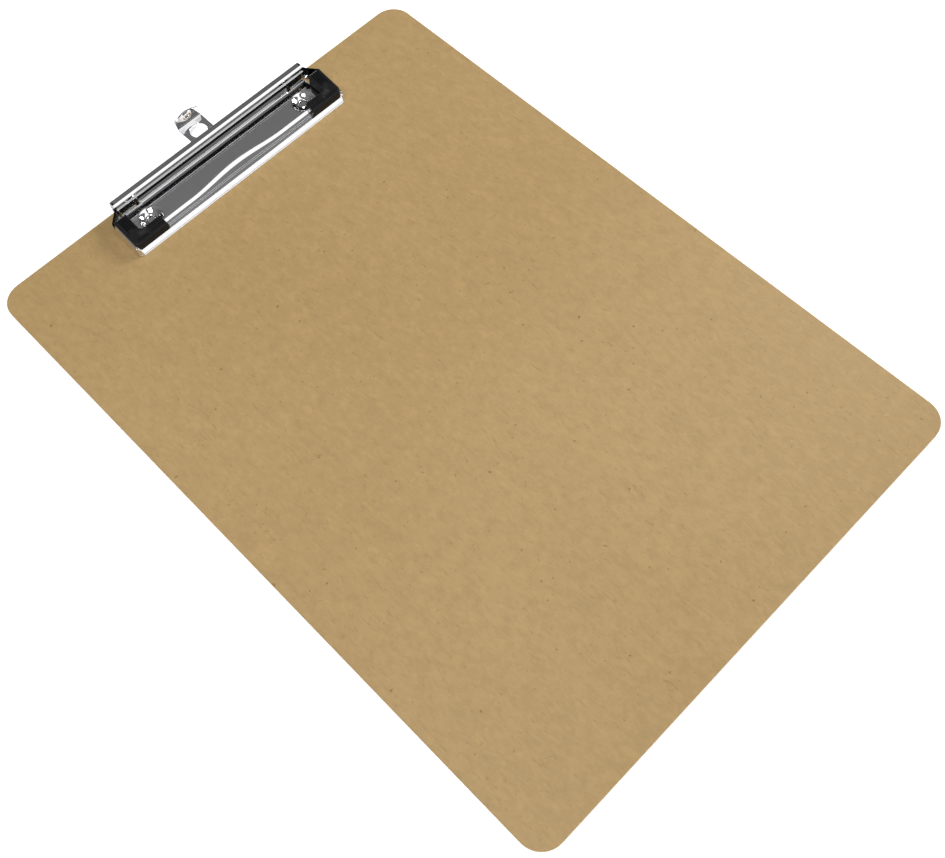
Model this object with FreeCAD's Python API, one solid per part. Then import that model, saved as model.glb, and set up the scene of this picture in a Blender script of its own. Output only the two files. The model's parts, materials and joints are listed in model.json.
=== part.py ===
import FreeCAD, Part
import math
import os

# Letter-size hardboard clipboard with a low-profile lever clip, in millimetres.
# Origin: centre of the board's back face. +X to the right, +Y towards the clip, +Z out of the
# front face. Heights named *_H are measured up from the board's front face.

V = FreeCAD.Vector
X_AXIS = V(1, 0, 0)
Z_AXIS = V(0, 0, 1)
FAR = 200.0

# Board
BOARD_W = 229.0
BOARD_L = 316.0
BOARD_T = 3.0
BOARD_CORNER_R = 10.0
BOARD_EDGE_R = 0.5
REAR_Y = BOARD_L / 2

# Clip layout, set back from the board's rear edge
HINGE_Y = REAR_Y - 4.2
HINGE_H = 4.6
LIP_Y = REAR_Y - 28.1
CLIP_SHEET = 0.9

# Clip walls, leaning inwards from the bottom outline to the one at WALL_TOP_H
WALL_BOTTOM_H = 0.3
WALL_TOP_H = 8.0
CLIP_HALF_W = 59.45
WALL_TOP_HALF_W = 58.75
FRONT_WALL_DEG = 62.0
CORNER_BOTTOM_R = 2.3
CORNER_TOP_R = 1.4
LIP_BEAD_R = 0.5
LIP_BEAD_HALF_W = 56.5
LIP_CLEARANCE = 0.05
SIDE_REAR_Y = REAR_Y - 10.5

# Top of the jaw: distance behind the lip and height of each bend
JAW_CREST = [
    (-2.0, 2.95), (1.41, 2.95), (2.75, 3.05), (3.0, 3.5), (4.6, 3.58), (5.6, 4.3), (9.0, 4.5)]
JAW_REAR_Y = LIP_Y + 6.2
JAW_BULGE = 2.3
JAW_BULGE_HALF_W = 26.0
JAW_HEM_H = 3.2

# Sloping top of the side walls, under the corner grips
TOP_SLOPE = 0.17
TOP_REF_Y = LIP_Y + 1.5
TOP_REF_H = 4.6
FLANGE_INNER_X = 53.0

# Hinge lugs and the joggles that lead to them
JOGGLE_OUTER_X = 59.1
JOGGLE_START_Y = SIDE_REAR_Y - 2.0
JOGGLE_BOTTOM_H = 0.4
JOGGLE_SETBACK = 1.9
LUG_INNER_X = 52.6
LUG_R = 2.5

# Rear thumb bar, a folded channel above the hinge: (y, height) of its outer and inner bends
BAR_FRONT_Y = REAR_Y - 6.5
BAR_OUTER = [
    (-0.4, 7.2), (0.2, 8.0), (0.2, 9.1), (0.45, 9.4), (1.7, 10.0), (3.7, 9.8), (4.1, 9.4), (4.1, 7.4)]
BAR_INNER = [(0.5, 6.0), (0.5, 7.2), (1.1, 8.0), (1.1, 8.8), (1.7, 9.1), (3.2, 8.95), (3.2, 6.0)]

# Base plate
PLATE_T = 1.0
PLATE_TOP_H = 2.5
PLATE_HALF_W = 52.9
PLATE_FRONT_Y = LIP_Y + 3.0
PLATE_BEAD_R = 0.5
PLATE_REAR_Y = REAR_Y - 6.9
PLATE_BEND_R = 0.8
BARREL_HALF_W = 42.5
BARREL_FILLET_R = 0.9
BARREL_CHAMFER = 0.55
BARREL_OUTER_R = 2.15
BARREL_BORE_R = 1.3
UPSTAND_BACK = 0.07
UPSTAND_INNER_X = 44.4
HOOK_STOP_X = 8.0
HOOK_STOP_Y = REAR_Y - 7.5
HOOK_STOP_W = 1.2
HOOK_STOP_T = 0.8
HOOK_STOP_FLOOR_H = 0.15

# Hinge rod
ROD_R = 1.25
ROD_HEAD_R = 1.6
ROD_HEAD_T = 0.6

# Torsion springs
SPRING_WIRE_R = 0.4
SPRING_LEG_STEP = 0.01
SPRING_MEAN_R = 1.9
SPRING_INNER_X = 43.4
SPRING_OUTER_X = 51.6
SPRING_TURNS = 8
SPRING_LEAD_DEG = 45.0
SPRING_FOOT_H = 0.6
SPRING_FOOT_BEND_R = 1.0
SPRING_FOOT_LENGTH = 2.9
SPRING_TIP_LENGTH = 2.5

# Rivets and the dishes that they sit in
RIVET_X = 43.75
RIVET_Y = REAR_Y - 16.1
DISH_R = 6.1
DISH_FLOOR_R = 3.4
DISH_FLOOR_H = 1.0
RIVET_SHANK_R = 2.1
RIVET_BORE_R = 1.45
RIVET_RIM_R = 2.75
RIVET_RIM_T = 0.9
RIVET_HOLE_R = 2.15
WASHER_R = 4.5
WASHER_T = 0.6
RECESS_R = 4.7
RECESS_DEPTH = 1.1
TAIL_R = 3.2
TAIL_GAP = 0.05

# Corner grips
GRIP_END_X = 41.5
GRIP_OUTER_X = 58.3
GRIP_INNER_X = 52.0
GRIP_FRONT_Y = LIP_Y + 1.3
GRIP_ARM_REAR_Y = LIP_Y + 6.7
GRIP_REAR_Y = REAR_Y - 11.6
GRIP_T = 1.9
GRIP_FLOOR_H = 2.9
GRIP_CORNER_R = 2.2
GRIP_INNER_CORNER_R = 1.5
GRIP_TOP_R = 0.5
RIB_COUNT = 4
RIB_PITCH = 1.0
RIB_GROOVE_W = 0.45
RIB_GROOVE_DEPTH = 0.35

# Hanging hook, a little right of centre
HOOK_X = 1.0
HOOK_HALF_W = 6.5
HOOK_T = 0.8
HOOK_BOTTOM_H = 0.4
HOOK_HEAD_HALF_W = 9.5
HOOK_HEAD_FRONT_Y = REAR_Y - 10.0
HOOK_HEAD_REAR_Y = REAR_Y - 8.0
HOOK_HOLE_R = 4.0
HOOK_HOLE_Y = REAR_Y + 7.0
HOOK_TAB_Y = REAR_Y + 14.8
HOOK_TAB_SIDE_H = 5.4
HOOK_TAB_TOP_H = 7.1
DIMPLE_R = 3.6
DIMPLE_DEPTH = 0.9


def at_height(y, h, x=0.0):
    """A point at a height above the board's front face."""
    return V(x, y, BOARD_T + h)


def top_height(y):
    """Height of the clip's sloping side sheet at a given y."""
    return TOP_REF_H + TOP_SLOPE * (y - TOP_REF_Y)


def profile_x(points, x0, x1):
    """A polygon of (y, height) points, extruded from x0 to x1."""
    corners = [at_height(y, h, x0) for y, h in points]
    face = Part.Face(Part.makePolygon(corners + corners[:1]))
    return face.extrude(X_AXIS * (x1 - x0))


def plan_z(points, h0, h1):
    """A polygon of (x, y) points, extruded from height h0 to h1."""
    corners = [at_height(y, h0, x) for x, y in points]
    face = Part.Face(Part.makePolygon(corners + corners[:1]))
    return face.extrude(Z_AXIS * (h1 - h0))


def box(x0, x1, y0, y1, h0, h1):
    return Part.makeBox(x1 - x0, y1 - y0, h1 - h0, at_height(y0, h0, x0))


def rod_x(y, h, radius, x0, x1):
    return Part.makeCylinder(radius, x1 - x0, at_height(y, h, x0), X_AXIS)


def mirrored(shape):
    """The left-hand twin of a right-hand piece."""
    return shape.mirror(V(0, 0, 0), X_AXIS)


def edges_where(shape, test):
    return [edge for edge in shape.Edges if test(edge)]


def vertical_edges_near(shape, x, y, reach=0.3):
    """Edges parallel to Z that stand within reach of (x, y)."""
    def test(edge):
        box_ = edge.BoundBox
        upright = box_.XLength < 0.01 and box_.YLength < 0.01
        return upright and math.hypot(box_.XMin - x, box_.YMin - y) < reach
    return edges_where(shape, test)


def rounded_plate():
    """The board's blank: a rectangle with round corners and eased edges."""
    blank = Part.makeBox(BOARD_W, BOARD_L, BOARD_T, V(-BOARD_W / 2, -BOARD_L / 2, 0))
    corners = edges_where(blank, lambda edge: edge.BoundBox.ZLength > BOARD_T / 2)
    blank = blank.makeFillet(BOARD_CORNER_R, corners)
    rims = edges_where(blank, lambda edge: edge.BoundBox.ZLength < BOARD_EDGE_R)
    return blank.makeFillet(BOARD_EDGE_R, rims)


def board():
    shape = rounded_plate()
    for side in (-1, 1):
        foot = V(side * RIVET_X, RIVET_Y, 0)
        shape = shape.cut(Part.makeCylinder(RIVET_HOLE_R, BOARD_T, foot))
        shape = shape.cut(Part.makeCylinder(RECESS_R, RECESS_DEPTH, foot))
    return shape


def dish():
    """Pressed dish that brings the base plate down onto the board at a rivet."""
    def point(radius, h):
        return at_height(RIVET_Y, h, RIVET_X + radius)

    floor_under = DISH_FLOOR_H - PLATE_T
    rim_under = PLATE_TOP_H - PLATE_T
    corners = [
        point(RIVET_HOLE_R, DISH_FLOOR_H), point(DISH_FLOOR_R, DISH_FLOOR_H), point(DISH_R, PLATE_TOP_H),
        point(DISH_R, rim_under), point(DISH_FLOOR_R, floor_under), point(RIVET_HOLE_R, floor_under)]
    face = Part.Face(Part.makePolygon(corners + corners[:1]))
    return face.revolve(V(RIVET_X, RIVET_Y, 0), Z_AXIS, 360)


def plate_tray():
    """Flat of the base plate with its front and end flanges turned down to the board."""
    outer = box(-PLATE_HALF_W, PLATE_HALF_W, PLATE_FRONT_Y, PLATE_REAR_Y, 0, PLATE_TOP_H)
    top_rim = edges_where(outer, lambda edge: (
        edge.BoundBox.ZMin > BOARD_T + PLATE_TOP_H - 0.01
        and edge.BoundBox.YMin < PLATE_REAR_Y - 0.01))
    outer = outer.makeFillet(PLATE_BEND_R, top_rim)
    hollow = box(
        PLATE_T - PLATE_HALF_W, PLATE_HALF_W - PLATE_T,
        PLATE_FRONT_Y + PLATE_T, PLATE_REAR_Y, 0, PLATE_TOP_H - PLATE_T)
    return outer.cut(hollow)


def upstand(x0, x1):
    """Cove that turns the base plate's rear edge up towards the hinge."""
    wall_front = HINGE_Y - BARREL_OUTER_R
    corner = box(x0, x1, wall_front - BARREL_FILLET_R, wall_front + UPSTAND_BACK,
                 PLATE_TOP_H - PLATE_T, PLATE_TOP_H + BARREL_FILLET_R)
    return corner.cut(rod_x(wall_front - BARREL_FILLET_R, PLATE_TOP_H + BARREL_FILLET_R, BARREL_FILLET_R,
                            x0, x1))


def plate_barrel():
    """Rear edge of the base plate: bent up with a flat front and rolled over the hinge rod."""
    wall_front = HINGE_Y - BARREL_OUTER_R
    wall_back = HINGE_Y - BARREL_BORE_R
    top_h = HINGE_H + BARREL_OUTER_R
    ledge = box(-BARREL_HALF_W, BARREL_HALF_W, PLATE_REAR_Y, wall_back,
                PLATE_TOP_H - PLATE_T, PLATE_TOP_H)
    wall = box(-BARREL_HALF_W, BARREL_HALF_W, wall_front, wall_back, PLATE_TOP_H - PLATE_T, HINGE_H)
    roll = rod_x(HINGE_Y, HINGE_H, BARREL_OUTER_R, -BARREL_HALF_W, BARREL_HALF_W)
    seam = profile_x(
        [(wall_back, HINGE_H - FAR), (HINGE_Y - 0.2, HINGE_H - FAR), (HINGE_Y - 0.2, HINGE_H),
         (wall_back, HINGE_H)],
        -BARREL_HALF_W, BARREL_HALF_W)
    square = profile_x(
        [(wall_front, HINGE_H), (wall_front, top_h - BARREL_CHAMFER), (wall_front + BARREL_CHAMFER, top_h),
         (HINGE_Y, top_h), (HINGE_Y, HINGE_H)],
        -BARREL_HALF_W, BARREL_HALF_W)
    shape = wall.fuse(ledge).fuse(upstand(-BARREL_HALF_W, BARREL_HALF_W)).fuse(roll.cut(seam)).fuse(square)
    return shape.cut(rod_x(HINGE_Y, HINGE_H, BARREL_BORE_R, -BARREL_HALF_W, BARREL_HALF_W))


def base_plate():
    """Plate with its barrel, a bead and upstand beside it, two dishes and two hook stops."""
    bead = rod_x(PLATE_REAR_Y - PLATE_BEAD_R + 0.1, PLATE_TOP_H, PLATE_BEAD_R, BARREL_HALF_W - 0.5,
                 PLATE_HALF_W - PLATE_BEND_R)
    bead = bead.fuse(upstand(UPSTAND_INNER_X, PLATE_HALF_W - PLATE_BEND_R))
    shape = plate_tray().fuse(plate_barrel()).fuse(bead).fuse(mirrored(bead))
    right = dish()
    hole = Part.makeCylinder(DISH_R, PLATE_T, at_height(RIVET_Y, PLATE_TOP_H - PLATE_T, RIVET_X))
    shape = shape.cut(hole).cut(mirrored(hole)).fuse(right).fuse(mirrored(right))
    for x in (HOOK_X - HOOK_STOP_X, HOOK_X + HOOK_STOP_X):
        stop = box(x - HOOK_STOP_W / 2, x + HOOK_STOP_W / 2, HOOK_STOP_Y - HOOK_STOP_T / 2,
                   HOOK_STOP_Y + HOOK_STOP_T / 2, HOOK_STOP_FLOOR_H, PLATE_TOP_H - PLATE_T / 2)
        shape = shape.fuse(stop)
    return shape.removeSplitter()


def wall_outline(h, inset, rear):
    """Outline of the clip's walls at a height, moved inwards by inset: round in front, open-ended."""
    share = (h - WALL_BOTTOM_H) / (WALL_TOP_H - WALL_BOTTOM_H)
    half_w = CLIP_HALF_W + share * (WALL_TOP_HALF_W - CLIP_HALF_W) - inset
    front = LIP_Y + (h - WALL_BOTTOM_H) / math.tan(math.radians(FRONT_WALL_DEG)) + inset
    radius = CORNER_BOTTOM_R + share * (CORNER_TOP_R - CORNER_BOTTOM_R) - inset
    near = radius * (1 - math.sqrt(0.5))

    def at(x, y):
        return at_height(y, h, x)

    left_arc = Part.Arc(at(-half_w, front + radius), at(near - half_w, front + near),
                        at(radius - half_w, front)).toShape()
    right_arc = Part.Arc(at(half_w - radius, front), at(half_w - near, front + near),
                         at(half_w, front + radius)).toShape()
    return Part.Wire([
        Part.makeLine(at(-half_w, rear), at(-half_w, front + radius)), left_arc,
        Part.makeLine(at(radius - half_w, front), at(half_w - radius, front)), right_arc,
        Part.makeLine(at(half_w, front + radius), at(half_w, rear)),
        Part.makeLine(at(half_w, rear), at(-half_w, rear))])


def under_crest(lift):
    """Everything under the jaw's top, raised by lift."""
    crest = [(LIP_Y + back, h + lift) for back, h in JAW_CREST]
    end_y, end_h = crest[-1]
    floor_h = -2.0
    points = [(crest[0][0], floor_h)] + crest + [(FAR, end_h), (FAR, floor_h)]
    return profile_x(points, -FLANGE_INNER_X, FLANGE_INNER_X)


def under_slope(lift):
    """Everything under the right side's sloping sheet, raised by lift."""
    front = LIP_Y - 5.0
    floor_h = -2.0
    return profile_x(
        [(front, floor_h), (REAR_Y, floor_h), (REAR_Y, top_height(REAR_Y) + lift),
         (front, top_height(front) + lift)],
        0, FAR)


def clip_envelope(inset, rear, floor_h):
    """Solid inside of the clip's outer faces, moved inwards by inset."""
    walls = Part.makeLoft(
        [wall_outline(floor_h, inset, rear), wall_outline(WALL_TOP_H, inset, rear)], True, True)
    side = under_slope(-inset).common(box(FLANGE_INNER_X, FAR, 0, FAR, -2.0, FAR))
    return walls.common(under_crest(-inset).fuse(side).fuse(mirrored(side)))


def behind_jaw_edge(shift):
    """Everything behind the jaw's bulged rear edge, moved by shift along Y."""
    base_h = -1.0
    curve = Part.BSplineCurve()
    flat = X_AXIS * 1.0
    left = at_height(JAW_REAR_Y + shift, base_h, -JAW_BULGE_HALF_W)
    right = at_height(JAW_REAR_Y + shift, base_h, JAW_BULGE_HALF_W)
    curve.interpolate(
        Points=[left, at_height(JAW_REAR_Y + JAW_BULGE + shift, base_h, 0.0), right],
        Tangents=[flat, flat, flat],
        TangentFlags=[True, True, True],
        Scale=False)
    end_left = at_height(JAW_REAR_Y + shift, base_h, -FLANGE_INNER_X)
    end_right = at_height(JAW_REAR_Y + shift, base_h, FLANGE_INNER_X)
    back_right = at_height(FAR, base_h, FLANGE_INNER_X)
    back_left = at_height(FAR, base_h, -FLANGE_INNER_X)
    wire = Part.Wire([
        Part.makeLine(end_left, left), curve.toShape(), Part.makeLine(right, end_right),
        Part.makeLine(end_right, back_right), Part.makeLine(back_right, back_left),
        Part.makeLine(back_left, end_left)])
    return Part.Face(wire).extrude(Z_AXIS * FAR)


def pressed_tray():
    """The clip's front jaw, side walls and side flanges, pressed from one sheet."""
    outer = clip_envelope(0.0, SIDE_REAR_Y, WALL_BOTTOM_H)
    inner = clip_envelope(CLIP_SHEET, SIDE_REAR_Y + 1.0, WALL_BOTTOM_H - 1.0)
    tray = outer.cut(inner).cut(behind_jaw_edge(0.0))
    hem = under_crest(-CLIP_SHEET / 2).common(box(-FAR, FAR, 0, FAR, JAW_HEM_H, FAR))
    hem = hem.common(behind_jaw_edge(-CLIP_SHEET)).cut(behind_jaw_edge(0.0))
    bead = rod_x(LIP_Y + LIP_BEAD_R, LIP_BEAD_R + LIP_CLEARANCE, LIP_BEAD_R,
                 -LIP_BEAD_HALF_W, LIP_BEAD_HALF_W)
    return tray.fuse(hem).fuse(bead)


def bar_points(offsets):
    return [(BAR_FRONT_Y + back, h) for back, h in offsets]


def hinge_lug():
    """Rear of the clip's right wall: joggled inwards to the lug that holds the rod."""
    lug_outer_x = LUG_INNER_X + CLIP_SHEET
    wall_inner_x = JOGGLE_OUTER_X - CLIP_SHEET
    joggle_y = HINGE_Y - JOGGLE_SETBACK
    end_y = HINGE_Y + LUG_R
    plan = plan_z(
        [(wall_inner_x, JOGGLE_START_Y), (JOGGLE_OUTER_X, JOGGLE_START_Y),
         (JOGGLE_OUTER_X, SIDE_REAR_Y + 0.2), (lug_outer_x, joggle_y + 0.2), (lug_outer_x, end_y),
         (LUG_INNER_X, end_y), (LUG_INNER_X, joggle_y - 0.2), (wall_inner_x, SIDE_REAR_Y - 0.2)],
        JOGGLE_BOTTOM_H, FAR)
    inside = vertical_edges_near(plan, wall_inner_x, SIDE_REAR_Y - 0.2)
    inside += vertical_edges_near(plan, lug_outer_x, joggle_y + 0.2)
    plan = plan.makeFillet(1.0, inside)
    outside = vertical_edges_near(plan, JOGGLE_OUTER_X, SIDE_REAR_Y + 0.2)
    outside += vertical_edges_near(plan, LUG_INNER_X, joggle_y - 0.2)
    plan = plan.makeFillet(1.0 + CLIP_SHEET, outside)
    bar = bar_points(BAR_OUTER)
    side = profile_x(
        [(JOGGLE_START_Y, JOGGLE_BOTTOM_H), (SIDE_REAR_Y - 0.6, JOGGLE_BOTTOM_H),
         (HINGE_Y - 2.0, HINGE_H - 1.4), (bar[-1][0], HINGE_H)]
        + bar[:1:-1]
        + [(SIDE_REAR_Y, top_height(SIDE_REAR_Y)), (JOGGLE_START_Y, top_height(JOGGLE_START_Y))],
        LUG_INNER_X, JOGGLE_OUTER_X)
    ear = rod_x(HINGE_Y, HINGE_H, LUG_R, LUG_INNER_X, lug_outer_x)
    return plan.common(side.fuse(ear)).cut(rod_x(HINGE_Y, HINGE_H, ROD_R, 0, FAR))


def thumb_bar():
    """Rear bar of the clip: a folded channel, open at the bottom."""
    x_end = LUG_INNER_X + CLIP_SHEET
    return profile_x(bar_points(BAR_OUTER), -x_end, x_end).cut(
        profile_x(bar_points(BAR_INNER), -LUG_INNER_X, LUG_INNER_X))


def clip_frame():
    right = hinge_lug()
    shape = pressed_tray().fuse(thumb_bar()).fuse(right).fuse(mirrored(right))
    return shape.removeSplitter()


def hinge_rod():
    shank_end = LUG_INNER_X + CLIP_SHEET
    rod = rod_x(HINGE_Y, HINGE_H, ROD_R, -shank_end, shank_end)
    for start in (-shank_end - ROD_HEAD_T, shank_end):
        head = rod_x(HINGE_Y, HINGE_H, ROD_HEAD_R, start, start + ROD_HEAD_T)
        outer_x = start if start < 0 else start + ROD_HEAD_T
        rim = edges_where(head, lambda edge: (
            abs(edge.BoundBox.XMin - outer_x) < 0.01 and edge.BoundBox.XLength < 0.01))
        rod = rod.fuse(head.makeFillet(ROD_HEAD_T * 0.6, rim))
    return rod.removeSplitter()


def wire_run(start, end):
    """A straight leg of the spring with ball ends, a hair thinner than the coil so that they fuse."""
    radius = SPRING_WIRE_R - SPRING_LEG_STEP
    direction = end - start
    run = Part.makeCylinder(radius, direction.Length, start, direction)
    return run.fuse(Part.makeSphere(radius, start)).fuse(Part.makeSphere(radius, end))


def torsion_spring_left():
    """Coil round the rod. Its foot lies under the base plate and its tip presses in the thumb bar."""
    turns = SPRING_TURNS + SPRING_LEAD_DEG / 360
    length = SPRING_OUTER_X - SPRING_INNER_X
    path = Part.makeHelix(length / turns, length, SPRING_MEAN_R)
    tangent = V(0, 2 * math.pi * SPRING_MEAN_R, length / turns)
    section = Part.Wire([Part.makeCircle(SPRING_WIRE_R, V(SPRING_MEAN_R, 0, 0), tangent)])
    coil = Part.Wire(path.Edges).makePipeShell([section], True, True)
    # Local X points forward, local Y up and local Z outboard to the left.
    frame = FreeCAD.Matrix(
        0, 0, -1, -SPRING_INNER_X,
        -1, 0, 0, HINGE_Y,
        0, 1, 0, BOARD_T + HINGE_H,
        0, 0, 0, 1)
    coil = coil.transformGeometry(frame)
    foot_x = -SPRING_INNER_X
    front_y = HINGE_Y - SPRING_MEAN_R
    turn_h = SPRING_FOOT_H + SPRING_FOOT_BEND_R
    upright = wire_run(at_height(front_y, turn_h, foot_x),
                       at_height(front_y, HINGE_H + SPRING_WIRE_R, foot_x))
    bend = Part.makeTorus(
        SPRING_FOOT_BEND_R, SPRING_WIRE_R,
        at_height(front_y - SPRING_FOOT_BEND_R, turn_h, foot_x), X_AXIS)
    quarter = box(foot_x - 1, foot_x + 1, front_y - SPRING_FOOT_BEND_R, front_y + 1, 0, turn_h)
    bend = bend.common(quarter)
    foot_y = front_y - SPRING_FOOT_BEND_R
    foot = wire_run(at_height(foot_y, SPRING_FOOT_H, foot_x),
                    at_height(foot_y - SPRING_FOOT_LENGTH, SPRING_FOOT_H, foot_x))
    lead = math.radians(SPRING_LEAD_DEG)
    tip_start = at_height(HINGE_Y - SPRING_MEAN_R * math.cos(lead),
                          HINGE_H + SPRING_MEAN_R * math.sin(lead), -SPRING_OUTER_X)
    tip_end = tip_start + V(0, math.sin(lead), math.cos(lead)) * SPRING_TIP_LENGTH
    return coil.fuse([upright, bend, foot, wire_run(tip_start, tip_end)])


def rivet(side):
    """Hollow rivet: rolled rim in the dish, shank through plate and board, tail over the washer."""
    floor_z = BOARD_T + DISH_FLOOR_H
    tail_top = RECESS_DEPTH - WASHER_T

    def point(radius, z):
        return V(side * RIVET_X + radius, RIVET_Y, z)

    rim_mid = (RIVET_RIM_R + RIVET_BORE_R) / 2
    curl = tail_top - TAIL_GAP
    diagonal = math.sqrt(0.5)
    wire = Part.Wire([
        Part.makeLine(point(RIVET_BORE_R, TAIL_GAP), point(RIVET_BORE_R, floor_z)),
        Part.Arc(point(RIVET_BORE_R, floor_z), point(rim_mid, floor_z + RIVET_RIM_T),
                 point(RIVET_RIM_R, floor_z)).toShape(),
        Part.makeLine(point(RIVET_RIM_R, floor_z), point(RIVET_SHANK_R, floor_z)),
        Part.makeLine(point(RIVET_SHANK_R, floor_z), point(RIVET_SHANK_R, tail_top)),
        Part.makeLine(point(RIVET_SHANK_R, tail_top), point(TAIL_R, tail_top)),
        Part.Arc(point(TAIL_R, tail_top), point(TAIL_R - curl * (1 - diagonal), tail_top - curl * diagonal),
                 point(TAIL_R - curl, TAIL_GAP)).toShape(),
        Part.makeLine(point(TAIL_R - curl, TAIL_GAP), point(RIVET_SHANK_R, TAIL_GAP)),
        Part.makeLine(point(RIVET_SHANK_R, TAIL_GAP), point(RIVET_BORE_R, TAIL_GAP)),
    ])
    return Part.Face(wire).revolve(V(side * RIVET_X, RIVET_Y, 0), Z_AXIS, 360)


def rivet_washer(side):
    foot = V(side * RIVET_X, RIVET_Y, RECESS_DEPTH - WASHER_T)
    ring = Part.makeCylinder(WASHER_R, WASHER_T, foot)
    return ring.cut(Part.makeCylinder(RIVET_HOLE_R, WASHER_T, foot))


def grip_outline():
    """Plan of the right corner grip, an L round the clip's front corner."""
    return [
        (GRIP_END_X, GRIP_FRONT_Y), (GRIP_OUTER_X, GRIP_FRONT_Y), (GRIP_OUTER_X, GRIP_REAR_Y),
        (GRIP_INNER_X, GRIP_REAR_Y), (GRIP_INNER_X, GRIP_ARM_REAR_Y), (GRIP_END_X, GRIP_ARM_REAR_Y)]


def grip_grooves():
    """Grooves between the ribs, along each arm of the L."""
    angle = math.degrees(math.atan(TOP_SLOPE))
    grooves = []
    for i in range(RIB_COUNT):
        x = GRIP_INNER_X + 1.35 + i * RIB_PITCH
        start = GRIP_ARM_REAR_Y + 2.6
        groove = Part.makeBox(RIB_GROOVE_W, FAR, RIB_GROOVE_DEPTH * 4,
                              at_height(start, top_height(start) + GRIP_T - RIB_GROOVE_DEPTH, x))
        groove.rotate(at_height(start, top_height(start) + GRIP_T, x), X_AXIS, angle)
        grooves.append(groove)
        y = GRIP_FRONT_Y + 1.05 + i * RIB_PITCH
        floor_h = top_height(y) + GRIP_T - RIB_GROOVE_DEPTH
        grooves.append(box(0, GRIP_INNER_X - 1.5, y, y + RIB_GROOVE_W, floor_h, floor_h + 2))
    return grooves


def corner_grip_right():
    """Moulded grip: a ribbed L on top of the sheet, with skirts over its inner edges."""
    block = plan_z(grip_outline(), GRIP_FLOOR_H, WALL_TOP_H * 2)
    corner = vertical_edges_near(block, GRIP_OUTER_X, GRIP_FRONT_Y)
    block = block.makeFillet(GRIP_CORNER_R, corner)
    inner = vertical_edges_near(block, GRIP_INNER_X, GRIP_ARM_REAR_Y)
    block = block.makeFillet(GRIP_INNER_CORNER_R, inner)
    ends = vertical_edges_near(block, GRIP_END_X, GRIP_FRONT_Y)
    ends += vertical_edges_near(block, GRIP_END_X, GRIP_ARM_REAR_Y)
    ends += vertical_edges_near(block, GRIP_INNER_X, GRIP_REAR_Y)
    ends += vertical_edges_near(block, GRIP_OUTER_X, GRIP_REAR_Y)
    block = block.makeFillet(GRIP_TOP_R, ends)
    block = block.common(under_slope(GRIP_T))
    top_rim = edges_where(block, lambda edge: (
        all(vertex.Z > BOARD_T + top_height(vertex.Y) + GRIP_T - 0.02 for vertex in edge.Vertexes)))
    block = block.makeFillet(GRIP_TOP_R, top_rim)
    metal = clip_envelope(0.0, SIDE_REAR_Y, WALL_BOTTOM_H).cut(behind_jaw_edge(0.0))
    block = block.cut(metal)
    for groove in grip_grooves():
        block = block.cut(groove)
    return block


def hook_tab():
    """Turned-up end of the hook, arched on top, with a pressed thumb dimple."""
    y0 = HOOK_TAB_Y - HOOK_T
    bottom = at_height(y0, HOOK_BOTTOM_H + HOOK_T, -HOOK_HALF_W)
    low_right = at_height(y0, HOOK_BOTTOM_H + HOOK_T, HOOK_HALF_W)
    right = at_height(y0, HOOK_TAB_SIDE_H, HOOK_HALF_W)
    left = at_height(y0, HOOK_TAB_SIDE_H, -HOOK_HALF_W)
    crown = Part.Arc(right, at_height(y0, HOOK_TAB_TOP_H, 0), left).toShape()
    wire = Part.Wire([Part.makeLine(bottom, low_right), Part.makeLine(low_right, right),
                      crown, Part.makeLine(left, bottom)])
    tab = Part.Face(wire).extrude(V(0, HOOK_T, 0))
    centre = at_height(y0 + DIMPLE_DEPTH - DIMPLE_R, HOOK_TAB_SIDE_H - 0.6)
    back = box(-HOOK_HALF_W, HOOK_HALF_W, y0 + HOOK_T / 2, FAR, 0, HOOK_TAB_TOP_H)
    bulge = Part.makeSphere(DIMPLE_R + HOOK_T, centre).common(back)
    return tab.fuse(bulge).cut(Part.makeSphere(DIMPLE_R, centre))


def hanging_hook():
    """Slotted-in hanging tab: wide head under the plate, neck with the nail hole, turned-up end."""
    top = HOOK_BOTTOM_H + HOOK_T
    neck = box(-HOOK_HALF_W, HOOK_HALF_W, HOOK_HEAD_FRONT_Y, HOOK_TAB_Y, HOOK_BOTTOM_H, top)
    head = box(-HOOK_HEAD_HALF_W, HOOK_HEAD_HALF_W, HOOK_HEAD_FRONT_Y, HOOK_HEAD_REAR_Y,
               HOOK_BOTTOM_H, top)
    shape = neck.fuse(head).fuse(hook_tab())
    shape = shape.cut(Part.makeCylinder(HOOK_HOLE_R, HOOK_T, at_height(HOOK_HOLE_Y, HOOK_BOTTOM_H)))
    shape = shape.removeSplitter()
    bend = edges_where(shape, lambda edge: (
        edge.BoundBox.XLength > HOOK_HALF_W
        and abs(edge.BoundBox.YMin - HOOK_TAB_Y) < 0.01
        and edge.BoundBox.ZMax < BOARD_T + HOOK_BOTTOM_H + 0.01))
    shape = shape.makeFillet(HOOK_T, bend)
    shape.translate(X_AXIS * HOOK_X)
    return shape


def write(name, shape):
    if not shape.isValid():
        print("not valid:", name)
    solids = shape.Solids
    print(name, "solids", len(solids), "volume", round(shape.Volume, 2), shape.BoundBox)
    whole = solids[0] if len(solids) == 1 else Part.makeCompound(solids)
    whole.exportStep(os.path.join("parts", name + ".step"))


def main():
    os.makedirs("parts", exist_ok=True)
    spring = torsion_spring_left()
    grip = corner_grip_right()
    write("board", board())
    write("base_plate", base_plate())
    write("clip_frame", clip_frame())
    write("hinge_rod", hinge_rod())
    write("torsion_spring_left", spring)
    write("torsion_spring_right", mirrored(spring))
    write("corner_grip_left", mirrored(grip))
    write("corner_grip_right", grip)
    write("hanging_hook", hanging_hook())
    for side, name in ((-1, "left"), (1, "right")):
        write("rivet_" + name, rivet(side))
        write("rivet_washer_" + name, rivet_washer(side))


main()
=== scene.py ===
import json
import math

import bmesh
import bpy
from mathutils import Matrix, Vector

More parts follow.
